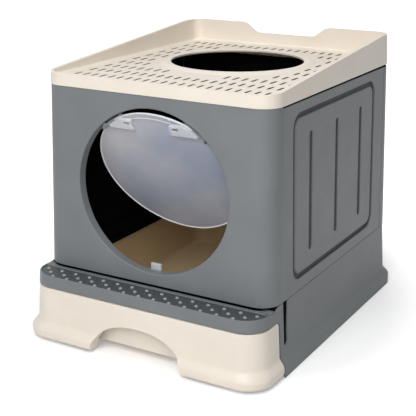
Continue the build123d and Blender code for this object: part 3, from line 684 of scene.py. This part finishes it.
# Darker brown on the slot walls: painted shade inside the drain slots.
drain_painted_shade = moulded_plastic("drain_painted_shade", paint(138, 116, 92), paint(146, 124, 100), 0.7, polish=0.1)
mount(lid, [cream_plastic, drain_painted_shade], "lid_cover", "cream_plastic", "lid")
finish_faces(lid, 1, in_drain)

# Litter tray: a deep pan with leaning walls, hung by the rim along both sides on the base's runners, painted
# beige-brown as shade except on its front wall's outer face, which keeps the drawer's cream.
# One moulding, pulled out to the front with the drawer front that clips to it.
tray_half, tray_front, tray_back, tray_rim, tray_floor = 0.1835, -0.2311, 0.2269, 0.0845, 0.014
tray_wall, tray_lean, tray_front_lean, tray_radius = 0.0026, 0.2364, 0.0524, 0.026


def tray_block(name, inwards, floor, top):
    """The pan's outline as a solid, a distance inside its outer face, with its steep front."""
    spread = (tray_rim - top) * tray_lean + inwards
    fall = top - floor
    radius = tray_radius - inwards
    block = slab(name, tray_half - spread, tray_front + spread, tray_back - spread, top, radius, radius,
                 [(fall * tray_lean, -fall)])
    take_up(block, edit=True)
    pick("VERT", lambda point: point.co.y < 0 and point.co.z < top - near)
    bpy.ops.transform.translate(value=(0, -fall * (tray_lean - tray_front_lean), 0))
    bpy.ops.object.mode_set(mode="OBJECT")
    return block


tray = tray_block("litter_tray_pan", 0, tray_floor, tray_rim)
hang_half, hang_back, hang_foot = 0.1905, tray_back + 0.008, tray_rim - 0.0025
shape(tray, slab("tray_flange", hang_half, tray_front, hang_back, hang_foot, tray_radius, tray_radius,
                 [(0, tray_rim - hang_foot)]), "UNION")
room_floor, room_top, floor_round = tray_floor + 0.003, tray_rim + 0.004, 0.006
room = tray_block("tray_room", tray_wall, room_floor, room_top)
round_edges(room, lambda a, b: max(a.z, b.z) < room_floor + near, floor_round, 4)
shape(tray, room)
finish_edges(tray, 0.0007)
# Beige-brown: the cream moulding painted darker and warmer as the shade inside the pan.
beige, pale_beige = paint(206, 179, 138), paint(211, 185, 144)
tray_shade_beige = moulded_plastic("tray_painted_shade_beige", beige, pale_beige, 0.42, grain=0.05)
mount(tray, [tray_shade_beige, cream_plastic], "drawer", "cream_plastic", "litter_tray")
# The front wall's outer face keeps the drawer's cream; the rest of the pan is painted beige-brown as shade.
finish_faces(tray, 1, lambda middle, normal: middle.y < tray_front + 0.006 and normal.y < -0.5)

# Drawer front: the cream lower front that wraps both corners and carries on the base's flare, with an arched
# finger hole at the floor. Moulded hollow with a top plate that stops at the tray.
drawer_top, drawer_wall, drawer_floor, drawer_under = 0.085, 0.0032, 0.0036, 0.007
drawer_back, plate_thick, plate_round, back_round = drawer_end - 0.0034, 0.003, 0.0022, 0.010
front = skirt_block("drawer_front_skirt", 0, drawer_floor, drawer_top, drawer_under)
round_edges(front, lambda a, b: min(a.z, b.z) > drawer_top - near, plate_round, 4)
trim_top = drawer_top + nip
keep = bar("drawer_reach", (-1, -1, -past), (1, drawer_back, trim_top))
round_edges(keep, lambda a, b: min(a.y, b.y) > drawer_back - near and min(a.z, b.z) > trim_top - near,
            back_round)
shape(front, skirt_block("drawer_room", drawer_wall, -nip, drawer_top - plate_thick))
shape(front, keep, "INTERSECT")
way_half, way_front, way_foot, way_radius = 0.1912, tray_front - 0.0006, drawer_top - 0.004, 0.027
shape(front, slab("tray_way", way_half, way_front, 0, way_foot, way_radius, 0, [(0, past)]))
arch_half, arch_high, arch_power, arch_rim, arch_return = 0.079, 0.054, 2.2, 0.0035, 0.010
arch_reach, arch_round = 0.08, 0.0026


def arch_block(name, grow, reach):
    """The finger hole's outline as a solid from ahead of the drawer to a depth behind its face."""
    put_down()
    bpy.ops.mesh.primitive_circle_add(vertices=96, radius=1, fill_type="NGON")
    block = bpy.context.object
    block.name = name
    for point in block.data.vertices:
        swell = [abs(value) ** (2 / arch_power) * (1 if value > 0 else -1) for value in point.co.xy]
        point.co = ((arch_half + grow) * swell[0], base_front - past, (arch_high + grow) * swell[1])
    take_up(block, edit=True)
    pick("FACE", lambda face: True)
    bpy.ops.mesh.extrude_region_move(TRANSFORM_OT_translate={"value": (0, past + reach, 0)})
    close_up()
    return block


def on_arch(point):
    """True for a point on the outer edge of the finger hole."""
    oval = (abs(point.x) / arch_half) ** arch_power + (abs(point.z) / arch_high) ** arch_power
    return abs(oval - 1) < 0.02 and point.y < base_front + 0.001


rolled = arch_block("arch_return", arch_rim, arch_return)
shape(rolled, skirt_block("drawer_form", 0, drawer_floor, drawer_top, drawer_under), "INTERSECT")
shape(front, rolled, "UNION")
shape(front, arch_block("arch", 0, arch_reach))
round_edges(front, lambda a, b: on_arch(a) and on_arch(b), arch_round, 4)
finish_edges(front, 0.0009)
mount(front, [cream_plastic], "drawer", "cream_plastic", "drawer_front")

# Flap: a frosted disc, faintly domed, with a fine bead round its edge that is painted near-white as a
# highlight, and a band along its top. One thin translucent moulding that swings both ways, slotted for the
# lugs and relieved where the hinge arms and the collar pass.
hinge, flap_tilt = Vector((0, -0.193143, 0.337619)), radians(28.5)
flap_frame = frame_on(hinge, (1, 0, 0), (0, -sin(flap_tilt), cos(flap_tilt)))
flap_half, flap_drop = (0.117, 0.1114), 0.0842
flap_face, flap_thick, bead, bead_rise, crown, rings = -0.0026, 0.002, 0.0018, 0.0009, 0.0024, 8
band_width, band_half, line_width, line_rise = 0.0085, 0.0315, 0.0012, 0.0017
disc_at = flap_frame @ Matrix.Translation((0, -flap_drop, 0))
bench = Matrix.Identity(4)
flap = drum("flap_disc", bench, flap_half, flap_face - flap_thick, flap_face + bead_rise)
take_up(flap, edit=True)
pick("FACE", lambda face: face.normal.z > 0.9)
bpy.ops.mesh.inset(thickness=bead * 0.7)
bpy.ops.mesh.inset(thickness=bead * 0.3, depth=-bead_rise)
for ring in range(rings, 0, -1):
    bpy.ops.mesh.inset(thickness=(flap_half[1] - bead) / (rings + 1), depth=crown * (2 * ring - 1) / rings**2)
close_up()


def oval_ring(name, frame_at, outer, inner, low, high):
    """Oval ring between two heights over a frame, by the half sizes of its outer and inner edges."""
    return shape(drum(name, frame_at, outer, low, high), drum("ring_room", frame_at, inner, -past, past))


def top_band(name, outer, inner, rise):
    """Stretch of an oval ring along the top of the disc, to a height over its face."""
    band = oval_ring(name, bench, outer, inner, flap_face - flap_thick / 2, flap_face + rise)
    return shape(band, bar("band_span", (-band_half, 0, -past), (band_half, 1, past)), "INTERSECT")


band_inner = grown(flap_half, -band_width)
shape(flap, top_band("flap_band", grown(flap_half, -bead / 3), band_inner, bead_rise), "UNION")
lug_slot_low, lug_slot_high = (0.0352, flap_drop + 0.0060), (0.0452, flap_drop + 0.0110)


def lug_slot(side):
    """Tool for the slot through a lug and the flap behind it."""
    left, right = on_side(side, lug_slot_low[0], lug_slot_high[0])
    return bar("lug_slot", (left, lug_slot_low[1], -past), (right, lug_slot_high[1], past))


nick_in, nick_foot = 0.0745, flap_drop - 0.0054
for side in (-1, 1):
    left, right = on_side(side, nick_in, nick_in + 2 * past)
    shape(flap, bar("arm_room", (left, nick_foot, -past), (right, 1, past)))
    shape(flap, lug_slot(side))
swung_in, collar_gap, sweep_front = radians(50), 0.0006, -0.005
swing = Matrix.Translation(hinge) @ Matrix.Rotation(-swung_in, 4, "X") @ Matrix.Translation(-hinge)
collar_at = disc_at.inverted() @ swing @ door_frame
shape(flap, oval_ring("collar_sweep", collar_at, grown(door_half, collar_wall), grown(door_half, -collar_gap),
                      -collar_depth - collar_gap, sweep_front))
gather(flap, [top_band("band_line", grown(band_inner, line_width), band_inner, line_rise)])


def on_bead(middle, normal):
    """True for the edge of the disc and the edge line of its band, painted near-white as a highlight."""
    place, facing = disc_at.inverted() @ middle, disc_at.inverted().to_3x3() @ normal
    edge = hypot(place.x / (flap_half[0] - bead), place.y / (flap_half[1] - bead)) > 1
    lined = abs(place.z - flap_face - line_rise) < 0.0002 and facing.z > 0.999 and place.y > flap_drop
    return edge or abs(facing.z) < 0.7 or lined


set_in(flap, disc_at)
finish_edges(flap, 0.0003)


def clear_plastic(name, dark, pale, gloss, through, clouds=14):
    """Frosted or clear moulded plastic: light passes, scattered by a fine uneven surface."""
    plastic = moulded_plastic(name, dark, pale, gloss, grain=0.05, clouds=clouds)
    shader = plastic.node_tree.nodes["Principled BSDF"]
    shader.inputs["Transmission Weight"].default_value = through
    shader.inputs["IOR"].default_value = 1.45
    return plastic


# Frosted bluish grey with a random cloudy drift, and a paler pink-grey towards the bottom of the disc that is
# painted light.
frosted = clear_plastic("frosted_flap", paint(158, 166, 184), paint(209, 205, 207), 0.4, 0.1, clouds=6)
nodes, link = frosted.node_tree.nodes, frosted.node_tree.links.new
place, split = nodes["Texture Coordinate"], nodes.new("ShaderNodeSeparateXYZ")
# The height term makes the disc paler towards its bottom: painted light, added to the random drift.
fall, drift_and_painted_light = nodes.new("ShaderNodeMapRange"), nodes.new("ShaderNodeMath")
fall.inputs["From Min"].default_value, fall.inputs["From Max"].default_value = 0.36, 0.15
fall.inputs["To Min"].default_value, fall.inputs["To Max"].default_value = -0.17, 0.17
link(place.outputs["Object"], split.inputs["Vector"])
link(split.outputs["Z"], fall.inputs["Value"])
link(fall.outputs["Result"], drift_and_painted_light.inputs[0])
link(nodes["Noise Texture"].outputs["Fac"], drift_and_painted_light.inputs[1])
link(drift_and_painted_light.outputs[0], nodes["Color Ramp"].inputs["Fac"])
# Near-white on the disc's edge and its band's edge line: painted highlight.
painted_highlight = clear_plastic("polished_bead", paint(238, 236, 238), paint(244, 242, 243), 0.25, 0.1)
mount(flap, [frosted, painted_highlight], "flap", "frosted_plastic", "flap_door")
finish_faces(flap, 1, on_bead)

# Hinge lugs and pins: two clear slotted lugs stand on the flap beside its top band and hold the short pins
# that it swings on. Small polycarbonate mouldings, welded to the disc, with their outer ends cut to its edge.
lug_ends, lug_foot, lug_head = (0.031, 0.072), flap_drop - 0.0024, flap_drop + 0.0145
lug_front, lug_sunk = 0.0032, 0.0004
clear = clear_plastic("clear_hinge", paint(236, 238, 243), paint(244, 245, 248), 0.22, 0.45)
for side, hand in ((1, "right"), (-1, "left")):
    lug = drum("hinge_lug_" + hand, bench, grown(flap_half, -bead / 2), flap_face - lug_sunk, lug_front)
    left, right = on_side(side, *lug_ends)
    shape(lug, bar("lug_span", (left, lug_foot, -past), (right, lug_head, past)), "INTERSECT")
    shape(lug, lug_slot(side))
    set_in(lug, disc_at)
    finish_edges(lug, 0.0005)
    mount(lug, [clear], "flap", "clear_plastic", "flap_lug_" + hand)
    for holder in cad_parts["hinge_pin_" + hand].material_slots:
        holder.material = clear

# Hinge arms: a slim grey arm stands off the collar on each side of the door's top and carries a pin's outer
# end. Moulded with the same grey plastic as the cabinet and fixed to the collar by a foot at each end.
arm_seat = door_frame.inverted() @ hinge
arm_deep, arm_span, arm_foot = 0.0026, (0.052, 0.085), 0.005
arm_out, arm_in = grown(door_half, -0.0022), grown(door_half, -0.0057)
foot_out, foot_in = grown(door_half, 0.0004), grown(door_half, -0.0028)
low, high = arm_seat.z - arm_deep, arm_seat.z + arm_deep
for side, hand in ((1, "right"), (-1, "left")):
    arm = oval_ring("hinge_arm_" + hand, door_frame, arm_out, arm_in, low, high)
    feet = oval_ring("arm_feet", door_frame, foot_out, foot_in, low, high)
    for part in (arm, feet):
        left, right = on_side(side, *arm_span)
        shape(part, set_in(bar("arm_reach", (left, 0, -past), (right, 1, past)), door_frame), "INTERSECT")
    left, right = on_side(side, arm_span[0] + arm_foot, arm_span[1] - arm_foot)
    shape(feet, set_in(bar("arm_gap", (left, 0, -past), (right, 1, past)), door_frame))
    shape(arm, feet, "UNION")
    finish_edges(arm, 0.0005)
    mount(arm, [grey_plastic], "cabinet", "grey_plastic", "hinge_bracket_" + hand)

# Catch: a small frosted tab behind the foot of the collar, hooked under it, that the flap's edge meets. One
# clip-on moulding in milky clear plastic.
tab_ends, tab_top, tab_gap, tab_thick = (-0.0113, 0.0067), -0.1108, 0.0008, 0.0036
collar_foot, hook_thick, hook_gap = -door_half[1] - collar_wall, 0.0024, 0.0002
tab_foot, tab_front = collar_foot - hook_thick, -collar_depth - tab_gap
catch = bar("door_catch_tab", (tab_ends[0], tab_foot, tab_front - tab_thick),
            (tab_ends[1], tab_top, tab_front))
hook = bar("catch_hook", (tab_ends[0], tab_foot, tab_front - tab_thick / 2),
           (tab_ends[1], collar_foot - hook_gap, -collar_depth / 2))
shape(catch, hook, "UNION")
set_in(catch, door_frame)
finish_edges(catch, 0.0010, 3)
tab_plastic = clear_plastic("frosted_catch", paint(205, 209, 211), paint(214, 218, 220), 0.3, 0.25)
mount(catch, [tab_plastic], "cabinet", "clear_plastic", "door_catch")

# Studio: a plain white floor that keeps the soft shadow, a pale sky, a large lamp at the front, a weak one at
# the right and one overhead, and the camera where the photograph was taken from.
put_down()
bpy.ops.mesh.primitive_plane_add(size=12, location=(0, 0, 0))
floor = bpy.context.object
floor.name = "studio_floor"
paper = bpy.data.materials.new("studio_paper")
paper.use_nodes = True
nodes, link = paper.node_tree.nodes, paper.node_tree.links.new
nodes["Principled BSDF"].inputs["Base Color"].default_value = (0.9, 0.9, 0.9, 1)
nodes["Principled BSDF"].inputs["Roughness"].default_value = 0.9
place, reach = nodes.new("ShaderNodeTexCoord"), nodes.new("ShaderNodeVectorMath")
reach.operation = "LENGTH"
glow = nodes.new("ShaderNodeMapRange")
glow.inputs["From Min"].default_value, glow.inputs["From Max"].default_value = 0.27, 0.56
glow.inputs["To Min"].default_value, glow.inputs["To Max"].default_value = 0.28, 1.0
link(place.outputs["Object"], reach.inputs[0])
link(reach.outputs["Value"], glow.inputs["Value"])


def looked_at(nodes, link):
    """Socket that is 1 on camera, glossy and transmission rays and 0 on the rest."""
    rays = nodes.new("ShaderNodeLightPath")
    either, any_of = nodes.new("ShaderNodeMath"), nodes.new("ShaderNodeMath")
    either.operation = any_of.operation = "MAXIMUM"
    link(rays.outputs["Is Camera Ray"], either.inputs[0])
    link(rays.outputs["Is Glossy Ray"], either.inputs[1])
    link(either.outputs[0], any_of.inputs[0])
    link(rays.outputs["Is Transmission Ray"], any_of.inputs[1])
    return any_of.outputs[0]


lift = nodes.new("ShaderNodeMath")
lift.operation = "MULTIPLY"
link(looked_at(nodes, link), lift.inputs[0])
link(glow.outputs["Result"], lift.inputs[1])
nodes["Principled BSDF"].inputs["Emission Color"].default_value = (1, 1, 1, 1)
link(lift.outputs[0], nodes["Principled BSDF"].inputs["Emission Strength"])
floor.data.materials.append(paper)

world = bpy.context.scene.world or bpy.data.worlds.new("studio_sky")
bpy.context.scene.world = world
world.use_nodes = True
nodes, link = world.node_tree.nodes, world.node_tree.links.new
sky = nodes["Background"]
sky.inputs["Color"].default_value = (1, 1, 1, 1)
level = nodes.new("ShaderNodeMapRange")
level.inputs["To Min"].default_value, level.inputs["To Max"].default_value = 0.15, 1.0
link(looked_at(nodes, link), level.inputs["Value"])
link(level.outputs["Result"], sky.inputs["Strength"])


def lamp(name, place, aim, size, power):
    """Square soft box that points at the object."""
    light = bpy.data.lights.new(name, "AREA")
    light.size, light.energy = size, power
    holder = bpy.data.objects.new(name, light)
    bpy.context.collection.objects.link(holder)
    holder.location = place
    holder.rotation_euler = (Vector(aim) - Vector(place)).to_track_quat("-Z", "Y").to_euler()


lamp("key_lamp", (0.35, -1.5, 1.45), (0, 0, 0.25), 1.1, 27.5)
lamp("strip_lamp", (1.8, -1.2, 0.9), (0, 0, 0.25), 0.8, 0.8)
lamp("top_lamp", (0, -0.1, 2.2), (0, 0, 0.4), 1.2, 10.5)

camera = bpy.data.objects.new("photo_camera", bpy.data.cameras.new("photo_camera"))
bpy.context.collection.objects.link(camera)
camera.location = (0.7426, -1.3199, 0.6614)
camera.rotation_euler = (radians(71.996), radians(0.015), radians(30.135))
camera.data.sensor_width, camera.data.lens = 36, 85.65
bpy.context.scene.camera = camera
bpy.context.scene.view_settings.view_transform = "Standard"
